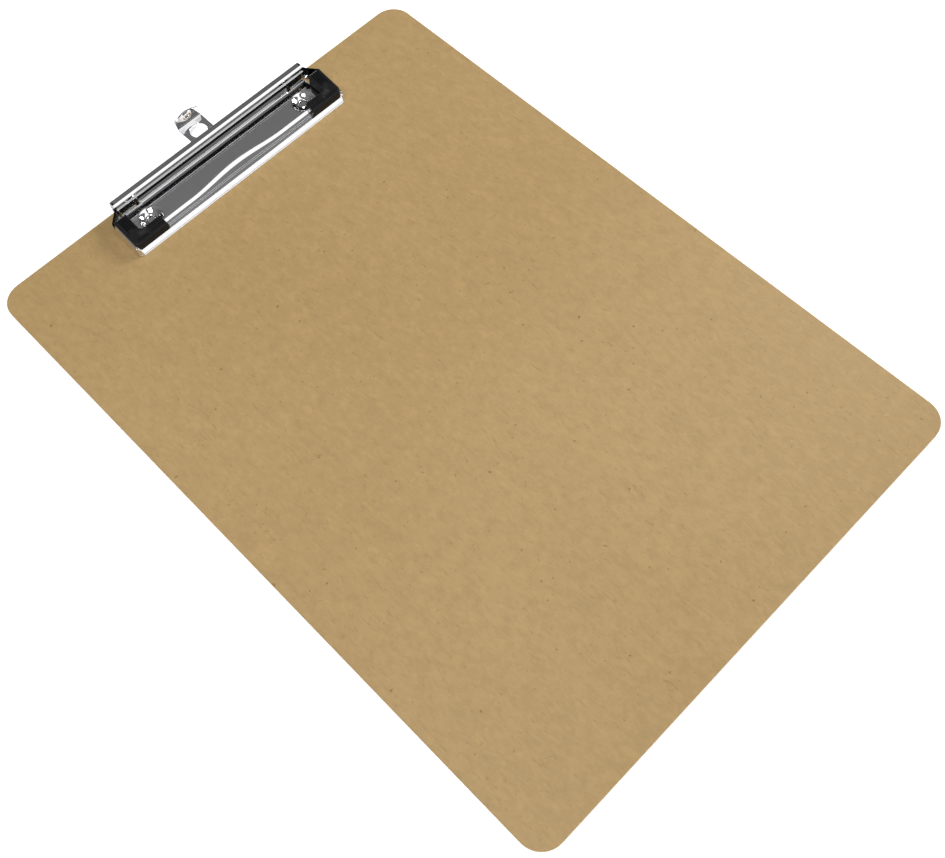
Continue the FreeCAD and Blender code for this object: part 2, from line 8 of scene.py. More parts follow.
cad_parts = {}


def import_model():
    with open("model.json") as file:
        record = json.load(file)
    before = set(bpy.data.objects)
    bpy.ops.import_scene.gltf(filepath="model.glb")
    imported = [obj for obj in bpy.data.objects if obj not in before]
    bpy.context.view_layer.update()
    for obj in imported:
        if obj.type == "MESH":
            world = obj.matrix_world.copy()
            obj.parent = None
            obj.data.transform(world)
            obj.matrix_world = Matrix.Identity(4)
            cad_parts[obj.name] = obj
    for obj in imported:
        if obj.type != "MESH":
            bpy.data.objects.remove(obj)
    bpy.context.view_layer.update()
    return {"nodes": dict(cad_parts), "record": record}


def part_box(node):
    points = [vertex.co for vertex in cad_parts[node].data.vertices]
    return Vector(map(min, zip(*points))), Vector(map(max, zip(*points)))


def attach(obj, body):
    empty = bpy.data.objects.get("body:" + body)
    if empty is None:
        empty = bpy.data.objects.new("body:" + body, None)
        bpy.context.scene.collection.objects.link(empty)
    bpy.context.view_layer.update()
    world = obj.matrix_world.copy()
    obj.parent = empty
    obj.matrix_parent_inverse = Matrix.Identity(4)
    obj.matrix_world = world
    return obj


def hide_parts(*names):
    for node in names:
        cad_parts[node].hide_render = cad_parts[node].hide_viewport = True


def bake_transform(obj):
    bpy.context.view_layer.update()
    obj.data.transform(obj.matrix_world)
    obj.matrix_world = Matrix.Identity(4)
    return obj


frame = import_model()

# Lengths are in millimetres until a point is placed. Heights named h are above the board's face.
MM = 0.001


def limits(node):
    """Lowest and highest corners of a CAD node, in millimetres."""
    low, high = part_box(node)
    return Vector(low) / MM, Vector(high) / MM


board_low, board_high = limits("board")
clip_low, clip_high = limits("clip_frame")
plate_low, plate_high = limits("base_plate")
grip_low, grip_high = limits("corner_grip_right")
hook_low, hook_high = limits("hanging_hook")
rivet_low, rivet_high = limits("rivet_right")
rod_low, rod_high = limits("hinge_rod")
clip_joint = [joint for joint in frame["record"]["behaviour"]["joints"] if joint["name"] == "clip_hinge"][0]

BOARD_T = board_high.z
HINGE_Y = clip_joint["pos_m"][1] / MM
HINGE_H = clip_joint["pos_m"][2] / MM - BOARD_T


def at(x, y, h):
    return Vector((x, y, BOARD_T + h)) * MM


# ---------------------------------------------------------------- mesh tools


def thickened(points, faces, thickness):
    """An open sheet made into a closed shell: thickness goes on the side away from the normals."""
    made = bmesh.new()
    corners = [made.verts.new(point) for point in points]
    for face in faces:
        made.faces.new([corners[i] for i in face])
    bmesh.ops.remove_doubles(made, verts=made.verts, dist=0.005 * MM)
    made.normal_update()
    front = list(made.verts)
    made.verts.index_update()
    back = [made.verts.new(vert.co - vert.normal * thickness * MM) for vert in front]
    rims = [edge for edge in made.edges if edge.is_boundary]
    for face in list(made.faces):
        made.faces.new([back[vert.index] for vert in reversed(face.verts)])
    for edge in rims:
        loop = edge.link_loops[0]
        a = loop.vert
        b = loop.link_loop_next.vert
        made.faces.new([b, a, back[a.index], back[b.index]])
    mesh = bpy.data.meshes.new("sheet")
    made.to_mesh(mesh)
    made.free()
    return mesh


def add_piece(name, points, faces, slot, body, nodes=(), sharp_deg=40.0, thickness=0.0, finish=None):
    """A new piece from points in metres, shaded smooth except at edges sharper than sharp_deg."""
    if thickness:
        mesh = thickened(points, faces, thickness)
        mesh.name = name
    else:
        mesh = bpy.data.meshes.new(name)
        mesh.from_pydata(points, [], faces)
    mesh.validate()
    mesh.polygons.foreach_set("use_smooth", [True] * len(mesh.polygons))
    mesh.set_sharp_from_angle(angle=math.radians(sharp_deg))
    mesh.materials.append(materials[finish or slot])
    piece = bpy.data.objects.new(name, mesh)
    bpy.context.scene.collection.objects.link(piece)
    if nodes:
        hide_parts(*nodes)
    if body:
        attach(piece, body)
    return piece


def flat_shading(piece):
    """Large faces keep their own normals, so that reflections bend only in the rounded edges."""
    weighted = piece.modifiers.new("weighted_normals", "WEIGHTED_NORMAL")
    weighted.weight = 50
    weighted.keep_sharp = True


def strip_faces(rows, columns, first=0):
    """Quads between rows of points; each row holds the same number of columns."""
    faces = []
    for i in range(rows - 1):
        for j in range(columns - 1):
            a = first + i * columns + j
            faces.append((a, a + columns, a + columns + 1, a + 1))
    return faces


def soften(piece, width):
    """Rounds the sharp edges of a sheet after its thickness is there."""
    edge = piece.modifiers.new("soft_edges", "BEVEL")
    edge.width = width * MM
    edge.segments = 3
    edge.limit_method = "ANGLE"
    edge.angle_limit = math.radians(50)


def loop_faces(rows, columns, capped=True, first=0):
    """Quads between closed loops of points, with a face over each end."""
    faces = []
    for i in range(rows - 1):
        for j in range(columns):
            k = (j + 1) % columns
            a = first + i * columns
            faces.append((a + j, a + columns + j, a + columns + k, a + k))
    if capped:
        faces.append(tuple(first + j for j in range(columns)))
        last = first + (rows - 1) * columns
        faces.append(tuple(last + j for j in reversed(range(columns))))
    return faces


def rounded(points, radii, steps=5, closed=False):
    """A polyline in the plane with an arc of the given radius at each inner corner."""
    result = []
    count = len(points)
    for i, (here, radius) in enumerate(zip(points, radii)):
        here = Vector(here)
        ends = not closed and i in (0, count - 1)
        if ends or radius <= 0:
            result.append(here)
            continue
        before = Vector(points[i - 1]) - here
        after = Vector(points[(i + 1) % count]) - here
        half = before.angle(after) / 2
        reach = min(radius / math.tan(half), before.length * 0.49, after.length * 0.49)
        start = here + before.normalized() * reach
        end = here + after.normalized() * reach
        for k in range(steps + 1):
            t = k / steps
            result.append(start * (1 - t) ** 2 + here * 2 * t * (1 - t) + end * t * t)
    return result


def spread(start, end, count):
    return [start + (end - start) * i / (count - 1) for i in range(count)]


def smooth_step(t):
    t = min(max(t, 0.0), 1.0)
    return t * t * (3 - 2 * t)


def sweep_x(name, outline, x0, x1, body, node, finish="plated_steel"):
    """A closed (y, h) outline of plated sheet swept from x0 to x1."""
    points = [at(x, y, h) for x in (x0, x1) for y, h in outline]
    faces = loop_faces(2, len(outline))
    flat_shading(add_piece(name, points, faces, "plated_steel", body, (node,), finish=finish))


def lathe(name, outline, centre, axis, slot, body, nodes=(), segments=64, sharp_deg=40.0):
    """A closed (radius, distance) outline turned about an axis through centre (x, y, h)."""
    points = []
    for i in range(segments):
        turn = 2 * math.pi * i / segments
        for radius, along in outline:
            if axis == "Z":
                offset = Vector((radius * math.cos(turn), radius * math.sin(turn), along))
            else:
                offset = Vector((along, radius * math.cos(turn), radius * math.sin(turn)))
            points.append(at(*centre) + offset * MM)
    columns = len(outline)
    faces = loop_faces(segments, columns, capped=False)
    last = (segments - 1) * columns
    for j in range(columns):
        k = (j + 1) % columns
        faces.append((last + j, j, k, last + k))
    return add_piece(name, points, faces, slot, body, nodes, sharp_deg)


def tube(name, path, radius, slot, segments=10):
    """A round wire along a path of points in metres, closed at both ends."""
    points = []
    side = Vector((0.0, 0.3, 1.0))
    for i, here in enumerate(path):
        ahead = path[min(i + 1, len(path) - 1)]
        behind = path[max(i - 1, 0)]
        along = (ahead - behind).normalized()
        side = (side - along * side.dot(along)).normalized()
        other = along.cross(side)
        for j in range(segments):
            turn = 2 * math.pi * j / segments
            points.append(here + (side * math.cos(turn) + other * math.sin(turn)) * radius * MM)
    faces = loop_faces(len(path), segments)
    return add_piece(name, points, faces, slot, None, (), 60.0)


# ---------------------------------------------------------------- material tools


def new_material(name):
    material = bpy.data.materials.new(name)
    material.use_nodes = True
    tree = material.node_tree
    return material, tree, tree.nodes["Principled BSDF"]


def object_coordinates(tree, scale=(1.0, 1.0, 1.0), rotation=(0.0, 0.0, 0.0)):
    coordinate = tree.nodes.new("ShaderNodeTexCoord")
    mapping = tree.nodes.new("ShaderNodeMapping")
    mapping.inputs["Scale"].default_value = scale
    mapping.inputs["Rotation"].default_value = rotation
    tree.links.new(coordinate.outputs["Object"], mapping.inputs["Vector"])
    return mapping.outputs["Vector"]


def noise(tree, vector, scale, detail=4.0, roughness=0.5, distortion=0.0):
    node = tree.nodes.new("ShaderNodeTexNoise")
    node.inputs["Scale"].default_value = scale
    node.inputs["Detail"].default_value = detail
    node.inputs["Roughness"].default_value = roughness
    node.inputs["Distortion"].default_value = distortion
    tree.links.new(vector, node.inputs["Vector"])
    return node.outputs["Fac"]


def ramp(tree, value, stops):
    node = tree.nodes.new("ShaderNodeValToRGB")
    elements = node.color_ramp.elements
    while len(elements) < len(stops):
        elements.new(0.5)
    for element, (position, colour) in zip(elements, stops):
        element.position = position
        element.color = (*colour, 1.0)
    tree.links.new(value, node.inputs["Fac"])
    return node.outputs["Color"]


def grey(value):
    return (value, value, value)


def mix(tree, blend, factor, a, b):
    node = tree.nodes.new("ShaderNodeMix")
    node.data_type = "RGBA"
    node.blend_type = blend
    for socket, value in (("Factor", factor), ("A", a), ("B", b)):
        target = [s for s in node.inputs if s.name == socket and s.enabled][0]
        if isinstance(value, bpy.types.NodeSocket):
            tree.links.new(value, target)
        elif isinstance(value, (int, float)):
            target.default_value = value
        else:
            target.default_value = (*value, 1.0)
    return [s for s in node.outputs if s.enabled][0]


def bump(tree, shader, height, strength, distance):
    node = tree.nodes.new("ShaderNodeBump")
    node.inputs["Strength"].default_value = strength
    node.inputs["Distance"].default_value = distance
    tree.links.new(height, node.inputs["Height"])
    tree.links.new(node.outputs["Normal"], shader.inputs["Normal"])
    return node


# ---------------------------------------------------------------- materials


def hardboard():
    """Pressed fibreboard: faint tone drift, fine fibres, small dark and pale specks."""
    material, tree, shader = new_material("hardboard")
    vector = object_coordinates(tree)
    broad = noise(tree, vector, 5.0, 3.0)
    base = ramp(tree, broad, [(0.35, (0.415, 0.276, 0.117)), (0.65, (0.447, 0.302, 0.134))])
    fibre = noise(tree, object_coordinates(tree, (1.0, 0.45, 1.0), (0.0, 0.0, 0.5)), 520.0, 4.0, 0.6, 0.8)
    base = mix(tree, "MULTIPLY", 1.0, base, ramp(tree, fibre, [(0.3, grey(0.92)), (0.7, grey(1.06))]))
    mottle = noise(tree, object_coordinates(tree, rotation=(0.0, 0.4, 1.1)), 190.0, 3.0, 0.6)
    base = mix(tree, "MULTIPLY", 1.0, base, ramp(tree, mottle, [(0.3, grey(0.95)), (0.7, grey(1.04))]))
    strand = noise(tree, object_coordinates(tree, (1.0, 0.22, 1.0), (0.0, 0.0, -0.7)), 900.0, 2.0, 0.5, 1.2)
    base = mix(tree, "MULTIPLY", 1.0, base,
               ramp(tree, strand, [(0.27, (0.86, 0.82, 0.76)), (0.36, grey(1.0))]))
    speck = noise(tree, object_coordinates(tree, rotation=(0.5, 0.2, 0.0)), 560.0, 1.0, 0.4)
    base = mix(tree, "MULTIPLY", 1.0, base,
               ramp(tree, speck, [(0.19, (0.66, 0.58, 0.48)), (0.26, grey(1.0))]))
    fleck = noise(tree, object_coordinates(tree, rotation=(0.3, 0.2, 0.9)), 480.0, 1.0, 0.4)
    base = mix(tree, "SCREEN", 1.0, base,
               ramp(tree, fleck, [(0.74, grey(0.0)), (0.82, (0.07, 0.055, 0.03))]))
    tree.links.new(base, shader.inputs["Base Color"])
    level = ramp(tree, fibre, [(0.3, grey(0.5)), (0.7, grey(0.62))])
    tree.links.new(level, shader.inputs["Roughness"])
    shader.inputs["Specular IOR Level"].default_value = 0.3
    bump(tree, shader, fibre, 0.1, 0.0001)
    return material


MASK_TOP_Z = 20
# Share of the plating's own colour that is left where shade is painted on it.
PAINTED_SHADE_LEVEL = 0.03


def height_mask(tree, heights):
    """Mask of painted shade: 1 between the two middle heights, 0 past the outer ones, in millimetres above
    the board's back.
    """
    coordinate = tree.nodes.new("ShaderNodeTexCoord")
    split = tree.nodes.new("ShaderNodeSeparateXYZ")
    tree.links.new(coordinate.outputs["Object"], split.inputs["Vector"])
    share = tree.nodes.new("ShaderNodeMapRange")
    share.inputs["From Max"].default_value = MASK_TOP_Z * MM
    tree.links.new(split.outputs["Z"], share.inputs["Value"])
    stops = [(height / MASK_TOP_Z, grey(level)) for height, level in zip(heights, (0.0, 1.0, 1.0, 0.0))]
    return ramp(tree, share.outputs["Result"], stops)


def plated(name, base, roughness, painted_shade_heights=None):
    """Bright plating with faint smears in its gloss, and painted shade between two heights if asked, where
    the colour goes near black.
    """
    material, tree, shader = new_material(name)
    shader.inputs["Metallic"].default_value = 1.0
    vector = object_coordinates(tree)
    smear = noise(tree, vector, 160.0, 3.0, 0.6)
    level = ramp(tree, smear, [(0.3, grey(roughness * 0.8)), (0.75, grey(roughness * 1.3))])
    tree.links.new(level, shader.inputs["Roughness"])
    tone = ramp(tree, smear, [(0.3, [c * 0.97 for c in base]), (0.7, base)])
    if painted_shade_heights:
        # Painted shade: between the given heights the plating's colour goes near black.
        tone = mix(tree, "MIX", height_mask(tree, painted_shade_heights), tone, [c * PAINTED_SHADE_LEVEL for c in base])
    tree.links.new(tone, shader.inputs["Base Color"])
    return material


def rubber():
    """Black moulded rubber with a fine grain."""
    material, tree, shader = new_material("grip_rubber")
    vector = object_coordinates(tree)
    fine = noise(tree, vector, 1500.0, 2.0)
    base = ramp(tree, fine, [(0.3, (0.006, 0.006, 0.007)), (0.7, (0.011, 0.011, 0.012))])
    tree.links.new(base, shader.inputs["Base Color"])
    level = ramp(tree, fine, [(0.3, grey(0.34)), (0.7, grey(0.44))])
    tree.links.new(level, shader.inputs["Roughness"])
    shader.inputs["Specular IOR Level"].default_value = 0.2
    bump(tree, shader, fine, 0.2, 0.00003)
    return material


materials = {
    "hardboard": hardboard(),
    "plated_steel": plated("plated_steel", (0.84, 0.84, 0.85), 0.05),
    # Hinge plating with painted shade: near black between about 8 and 18 mm above the board's back, on the
    # barrel's top and the lugs.
    "plated_hinge_painted_shade": plated("plated_hinge_painted_shade", (0.84, 0.84, 0.85), 0.06, (7.9, 8.3, 17.0, 18.0)),
    "rod_steel": plated("rod_steel", (0.70, 0.70, 0.71), 0.12),
    # The springs' near-black colour is painted shade: they sit in the shadow under the thumb bar.
    "spring_steel": plated("spring_steel", (0.025, 0.025, 0.026), 0.35),
    "grip_rubber": rubber(),
    # The rivet plating has painted shade: near black in the bore and on the lower rim, between 0.5 and 4.25
    # mm above the board's back.
    "rivet_nickel": plated("rivet_nickel", (0.80, 0.79, 0.78), 0.12, (0.4, 0.5, 4.25, 4.45)),
    "washer_steel": plated("washer_steel", (0.60, 0.60, 0.61), 0.3),
}

slot_of = {part["node"]: part["material_slot"] for part in frame["record"]["subparts"]}
for name, piece in frame["nodes"].items():
    piece.data.materials.clear()
    piece.data.materials.append(materials[slot_of[name]])

# ---------------------------------------------------------------- clip frame

SHEET = 0.9
LIP_Y = clip_low.y
CLIP_HALF_W = clip_high.x
WALL_BOTTOM_H = 0.3
WALL_LEAN = 0.7 / 7.7
FRONT_WALL_RUN = 1.0 / math.tan(math.radians(62.0))
CORNER_R = 2.3
RIM_X = 53.0
SIDE_REAR_Y = board_high.y - 10.5
JAW_REAR_BACK = 6.2
JAW_BULGE = 2.3
JAW_BULGE_HALF_W = 26.0
LIP_TOP_H = 2.75
RIM_SHARE = 0.97
SLOPE = 0.17
SLOPE_REF_Y = LIP_Y + 1.5
SLOPE_REF_H = 4.6


def slope_height(y):
    return SLOPE_REF_H + SLOPE * (y - SLOPE_REF_Y)


def bulge(x):
    if abs(x) > JAW_BULGE_HALF_W:
        return 0.0
    return JAW_BULGE * (1 + math.cos(math.pi * x / JAW_BULGE_HALF_W)) / 2


SECTION_RADII = (0, 0.1, 0.15, 0.25, 0.2, 0.3, 0.3, 0.5, 0.35, 0.25, 0)


def front_section(x):
    """(distance behind the lip, height) from the foot, over the jaw, to its rear edge."""
    b = bulge(x)
    run = (LIP_TOP_H - WALL_BOTTOM_H) * FRONT_WALL_RUN
    return [(0.7, 0.06), (0.06, 0.06), (0.0, 0.16), (run, LIP_TOP_H), (run + 0.28, 2.63),
            (2.75 + 0.15 * b, 2.83), (3.12 + 0.2 * b, 3.26), (4.5 + 0.7 * b, 3.55), (5.75 + 0.93 * b, 4.12),
            (JAW_REAR_BACK + b, 4.18), (JAW_REAR_BACK + b, 3.3)]


def side_section(y):
    """(distance inside the wall's foot, height) from the foot, up the wall, to the flange's edge."""
    top = slope_height(y)
    lean = (top - 1.2) * WALL_LEAN
    rim = CLIP_HALF_W - RIM_X
    return [(0.7, 0.32), (0.1, 0.32), (0.0, 0.55), (lean, top - 1.2), (lean + 0.3, top - 0.35),
            (lean + 1.3, top), (rim - 3.0, top), (rim - 2.0, top), (rim - 1.0, top), (rim, top),
            (rim, top - 0.8)]


def wall_station(foot, inward, section, rim=None):
    """One cross-section of the tray. The part past the wall is aimed just short of the rim point."""
    wall_end = section[4][0]
    last = section[-1][0]
    row = []
    for distance, h in rounded(section, SECTION_RADII):
        if distance <= wall_end or rim is None:
            plan = foot + inward * distance
        else:
            start = foot + inward * wall_end
            plan = start.lerp(rim, RIM_SHARE * (distance - wall_end) / (last - wall_end))
        row.append(at(plan.x, plan.y, h))
    return row


def tray_stations():
    """Cross-sections from the middle of the front round the right corner to the side's rear end."""
    ahead = Vector((0, 1))
    rows = []
    rim = Vector((RIM_X, LIP_Y + JAW_REAR_BACK))
    front_end = CLIP_HALF_W - CORNER_R
    for x in spread(0.0, JAW_BULGE_HALF_W, 40) + spread(JAW_BULGE_HALF_W, RIM_X, 8)[1:]:
        rows.append(wall_station(Vector((x, LIP_Y)), ahead, front_section(x)))
    for x in spread(RIM_X, front_end, 4)[1:]:
        rows.append(wall_station(Vector((x, LIP_Y)), ahead, front_section(x), rim))
    front = front_section(front_end)
    side = side_section(LIP_Y + CORNER_R)
    for i in range(1, 16):
        share = i / 16
        turn = share * math.pi / 2
        outward = Vector((math.sin(turn), -math.cos(turn)))
        foot = Vector((front_end, LIP_Y + CORNER_R)) + outward * CORNER_R
        section = [tuple(Vector(a).lerp(Vector(b), smooth_step(share))) for a, b in zip(front, side)]
        rows.append(wall_station(foot, -outward, section, rim))
    for y in spread(LIP_Y + CORNER_R, SIDE_REAR_Y, 16):
        target = rim if y < rim.y else Vector((RIM_X, y))
        rows.append(wall_station(Vector((CLIP_HALF_W, y)), Vector((-1, 0)), side_section(y), target))
    return rows


def clip_tray():
    """Jaw, walls and side flanges of the clip, as one sheet."""
    right = tray_stations()
    left = [[Vector((-p.x, p.y, p.z)) for p in row] for row in reversed(right[1:])]
    rows = left + right
    points = [p for row in rows for p in row]
    faces = strip_faces(len(rows), len(rows[0]))
    piece = add_piece("clip_frame_tray", points, faces, "plated_steel", "clip", ("clip_frame",),
                      thickness=SHEET * 0.8)
    flat_shading(piece)


BAR_FRONT_Y = board_high.y - 6.5
BAR_OUTER = [(-0.4, 7.2), (0.2, 8.0), (0.2, 9.32), (1.3, 9.95), (3.75, 9.82), (4.1, 9.4), (4.1, 7.4)]
BAR_OUTER_RADII = (0.15, 0.3, 0.3, 0.25, 0.25, 0.25, 0.2)
BAR_INNER = [(3.3, 7.4), (3.3, 8.95), (1.7, 9.2), (1.0, 8.8), (1.0, 8.0), (0.4, 7.2)]
BAR_INNER_RADII = (0.2, 0.3, 0.3, 0.3, 0.3, 0.15)
LUG_OUTER_X = 53.5
LUG_R = 2.5
BAR_END_GAP = 0.02


def thumb_bar():
    """Flared bar between the hinge lugs."""
    outline = rounded(BAR_OUTER + BAR_INNER, BAR_OUTER_RADII + BAR_INNER_RADII, 5, True)
    outline = [(BAR_FRONT_Y + back, h) for back, h in outline]
    end = LUG_OUTER_X - BAR_END_GAP
    sweep_x("clip_frame_thumb_bar", outline, -end, end, "clip", "clip_frame")


def lug_top(y):
    """Upper edge of the lug and joggle: the side's slope, then up over the thumb bar's end."""
    corners = [(SIDE_REAR_Y - 1.5, slope_height(SIDE_REAR_Y - 1.5) - 0.05), (SIDE_REAR_Y + 1.0, 7.4),
               (BAR_FRONT_Y, 9.1), (BAR_FRONT_Y + 1.7, 9.98), (BAR_FRONT_Y + 3.75, 9.78),
               (BAR_FRONT_Y + 4.1, 9.4), (HINGE_Y + LUG_R, 5.2)]
    for (y0, h0), (y1, h1) in zip(corners, corners[1:]):
        if y <= y1:
            return h0 + (h1 - h0) * (y - y0) / (y1 - y0)
    return corners[-1][1]


def lug_bottom(y):
    """Lower edge: level beside the paper, up to the lug, then round under the rod."""
    if abs(y - HINGE_Y) < LUG_R and y > HINGE_Y - LUG_R * 0.75:
        return HINGE_H - math.sqrt(max(LUG_R ** 2 - (y - HINGE_Y) ** 2, 0.0))
    start_y = SIDE_REAR_Y - 0.6
    end_y = HINGE_Y - LUG_R * 0.75
    end_h = HINGE_H - LUG_R * math.sqrt(1 - 0.75 ** 2)
    return 0.4 + (end_h - 0.4) * max(y - start_y, 0.0) / (end_y - start_y)


def hinge_lug(side, name):
    """Wall behind the side flange, stepped inwards to the lug that holds the rod."""
    joggle_start = SIDE_REAR_Y - 0.4
    joggle_end = HINGE_Y - 1.7
    wall_x = CLIP_HALF_W - 0.36
    rows = []
    stations = spread(SIDE_REAR_Y - 1.4, joggle_start, 4) + spread(joggle_start, joggle_end, 22)[1:]
    stations += spread(joggle_end, HINGE_Y + LUG_R - 0.02, 26)[1:]
    for y in stations:
        share = (y - joggle_start) / (joggle_end - joggle_start)
        t = 0.5 * smooth_step(share) + 0.5 * min(max(share, 0.0), 1.0)
        x = wall_x + (LUG_OUTER_X - wall_x) * t
        rows.append([at(side * x, y, h) for h in spread(lug_bottom(y), lug_top(y), 8)])
    points = [p for row in rows for p in row]
    faces = strip_faces(len(rows), len(rows[0]))
    if side < 0:
        faces = [tuple(reversed(face)) for face in faces]
    # The lugs take the hinge plating, which is painted near black as shade over their upper part.
    piece = add_piece(name, points, faces, "plated_steel", "clip", ("clip_frame",), thickness=SHEET,
                      finish="plated_hinge_painted_shade")
    flat_shading(piece)


# ---------------------------------------------------------------- base plate

PLATE_TOP_H = 2.5
PLATE_T = 1.0
PLATE_HALF_W = plate_high.x
PLATE_FRONT_Y = plate_low.y
PLATE_REAR_Y = board_high.y - 6.9
PLATE_BEND_R = 0.8
BARREL_HALF_W = 42.5
BARREL_R = plate_high.y - HINGE_Y
BARREL_WALL = 0.85
COVE_R = 0.9
UPSTAND_INNER_X = 44.4
UPSTAND_T = 0.06
RIVET_X = (rivet_low.x + rivet_high.x) / 2
RIVET_Y = (rivet_low.y + rivet_high.y) / 2
DISH_R = 6.1
DISH_FLOOR_R = 2.6
DISH_DEPTH = 1.5


def dish_drop(x, y):
    """Depth of the pressed dish under the flat of the plate."""
    radius = math.hypot(abs(x) - RIVET_X, y - RIVET_Y)
    return DISH_DEPTH * smooth_step((DISH_R - radius) / (DISH_R - DISH_FLOOR_R))


def bent_end(edge, inward):
    """Stations (place, drop) from the foot of a turned-down flange, round its bend, to the flat."""
    stations = [(edge, PLATE_TOP_H - 0.05)]
    for i in range(7):
        turn = math.pi / 2 * (1 - i / 6)
        stations.append((edge + inward * PLATE_BEND_R * (1 - math.sin(turn)),
                         PLATE_BEND_R * (1 - math.cos(turn))))
    return stations


def plate_sheet():
    """Flat of the base plate with its two dishes and its turned-down edges."""
    near = DISH_R + 0.3
    fine = spread(RIVET_X - near, RIVET_X + near, 57)
    inner_x = [-x for x in reversed(fine)] + spread(-30.0, 30.0, 7) + fine
    inner_y = spread(RIVET_Y - near, RIVET_Y + near, 57) + [RIVET_Y + near + 1.2]
    xs = bent_end(-PLATE_HALF_W, 1) + [(x, 0.0) for x in inner_x]
    xs += list(reversed(bent_end(PLATE_HALF_W, -1)))
    ys = bent_end(PLATE_FRONT_Y, 1) + [(y, 0.0) for y in inner_y] + [(PLATE_REAR_Y + 0.1, 0.0)]
    points = []
    for x, drop_x in xs:
        for y, drop_y in ys:
            h = PLATE_TOP_H - max(drop_x, drop_y)
            if drop_x == 0 and drop_y == 0:
                h -= dish_drop(x, y)
            points.append(at(x, y, h))
    faces = strip_faces(len(xs), len(ys))
    piece = add_piece("base_plate_sheet", points, faces, "plated_steel", "base", ("base_plate",),
                      thickness=PLATE_T * 0.95)
    flat_shading(piece)


def cove_points():
    """Inside curve that turns the plate's flat up into the barrel's front wall."""
    centre_y = HINGE_Y - BARREL_R - COVE_R
    points = []
    for i in range(9):
        turn = i * math.pi / 16
        points.append((centre_y + COVE_R * math.sin(turn), PLATE_TOP_H + COVE_R * (1 - math.cos(turn))))
    return points


def plate_barrel():
    """Rolled rear edge: a cove up from the flat, over the rod and back under it."""
    wall_front = HINGE_Y - BARREL_R
    outline = cove_points()
    outline += [(wall_front, HINGE_H + BARREL_R - 0.55), (wall_front + 0.12, HINGE_H + BARREL_R - 0.3),
                (wall_front + 0.3, HINGE_H + BARREL_R - 0.12), (wall_front + 0.55, HINGE_H + BARREL_R)]
    for i in range(25):
        turn = math.pi / 2 - i * math.radians(170) / 24
        outline.append((HINGE_Y + BARREL_R * math.cos(turn), HINGE_H + BARREL_R * math.sin(turn)))
    inner_r = BARREL_R - BARREL_WALL
    for i in range(37):
        turn = math.pi - math.radians(260) + i * math.radians(260) / 36
        outline.append((HINGE_Y + inner_r * math.cos(turn), HINGE_H + inner_r * math.sin(turn)))
    outline.append((wall_front + BARREL_WALL, PLATE_TOP_H - PLATE_T + 0.3))
    outline.append((wall_front - COVE_R, PLATE_TOP_H - PLATE_T + 0.05))
    # The barrel takes the hinge plating, which is painted near black as shade over its top.
    sweep_x("base_plate_barrel", outline, -BARREL_HALF_W, BARREL_HALF_W, "base", "base_plate", "plated_hinge_painted_shade")


def plate_bead(side, name):
    """Bead along the plate's rear edge beside the barrel."""
    centre_y = PLATE_REAR_Y - 0.4
    outline = []
    for i in range(19):
        turn = math.pi - i * math.pi / 18
        outline.append((centre_y + 0.5 * math.cos(turn), PLATE_TOP_H + 0.5 * math.sin(turn)))
    outline = [(centre_y - 0.75, PLATE_TOP_H - 0.05), (centre_y - 0.56, PLATE_TOP_H + 0.08)] + outline[2:]
    outline += [(centre_y + 0.5, PLATE_TOP_H - 0.8), (centre_y - 0.75, PLATE_TOP_H - 0.8)]
    ends = sorted((side * (BARREL_HALF_W - 0.5), side * (PLATE_HALF_W - PLATE_BEND_R)))
    sweep_x(name, outline, ends[0], ends[1], "base", "base_plate")


def plate_upstand(side, name):
    """Thin cove beside the barrel, in front of the spring."""
    front = HINGE_Y - BARREL_R
    back = front + UPSTAND_T
    foot_h = PLATE_TOP_H - 0.9
    outline = cove_points() + [(front, PLATE_TOP_H + COVE_R + 0.03), (back, PLATE_TOP_H + COVE_R - 0.02),
                               (back, foot_h), (front - COVE_R, foot_h)]
    ends = sorted((side * UPSTAND_INNER_X, side * (PLATE_HALF_W - PLATE_BEND_R)))
    sweep_x(name, outline, ends[0], ends[1], "base", "base_plate")


# ---------------------------------------------------------------- rivets, rod and springs


def rivet(side, name):
    """Hollow rivet: rolled rim, bore, shank and turned tail."""
    floor_h = PLATE_TOP_H - DISH_DEPTH
    rim_r, bore_r, shank_r, rim_t = 2.75, 1.45, 2.1, 0.9
    tail_h = 0.5 - BOARD_T
    mid = (rim_r + bore_r) / 2
    half = (rim_r - bore_r) / 2
    outline = [(bore_r, 0.1 - BOARD_T)]
    for i in range(17):
        turn = math.pi - i * math.pi / 16
        outline.append((mid + half * math.cos(turn), floor_h + rim_t * math.sin(turn)))
    outline += [(shank_r, floor_h), (shank_r, tail_h), (3.2, tail_h), (3.12, tail_h - 0.25),
                (2.9, tail_h - 0.4), (2.6, 0.05 - BOARD_T), (1.7, 0.05 - BOARD_T)]
    lathe(name + "_turned", outline, (side * RIVET_X, RIVET_Y, 0.0), "Z", "rivet_nickel", "base", (name,))


def hinge_rod():
    """Long rod with a peened head at each end."""
    end = rod_high.x
    outline = [(0.02, -end), (1.2, -end), (1.52, -end + 0.12), (1.6, -end + 0.3), (1.6, -end + 0.6),
               (1.25, -end + 0.6)]
    outline += [(radius, -along) for radius, along in reversed(outline)]
    lathe("hinge_rod_turned", outline, (0.0, HINGE_Y, HINGE_H), "X", "rod_steel", "clip", ("hinge_rod",), 40)


WIRE_R = 0.4
COIL_R = 1.9
COIL_INNER_X = 43.4
COIL_OUTER_X = 51.6
COIL_TURNS = 8.125
FOOT_H = 0.6
FOOT_BEND_R = 1.0
TIP_LENGTH = 2.5


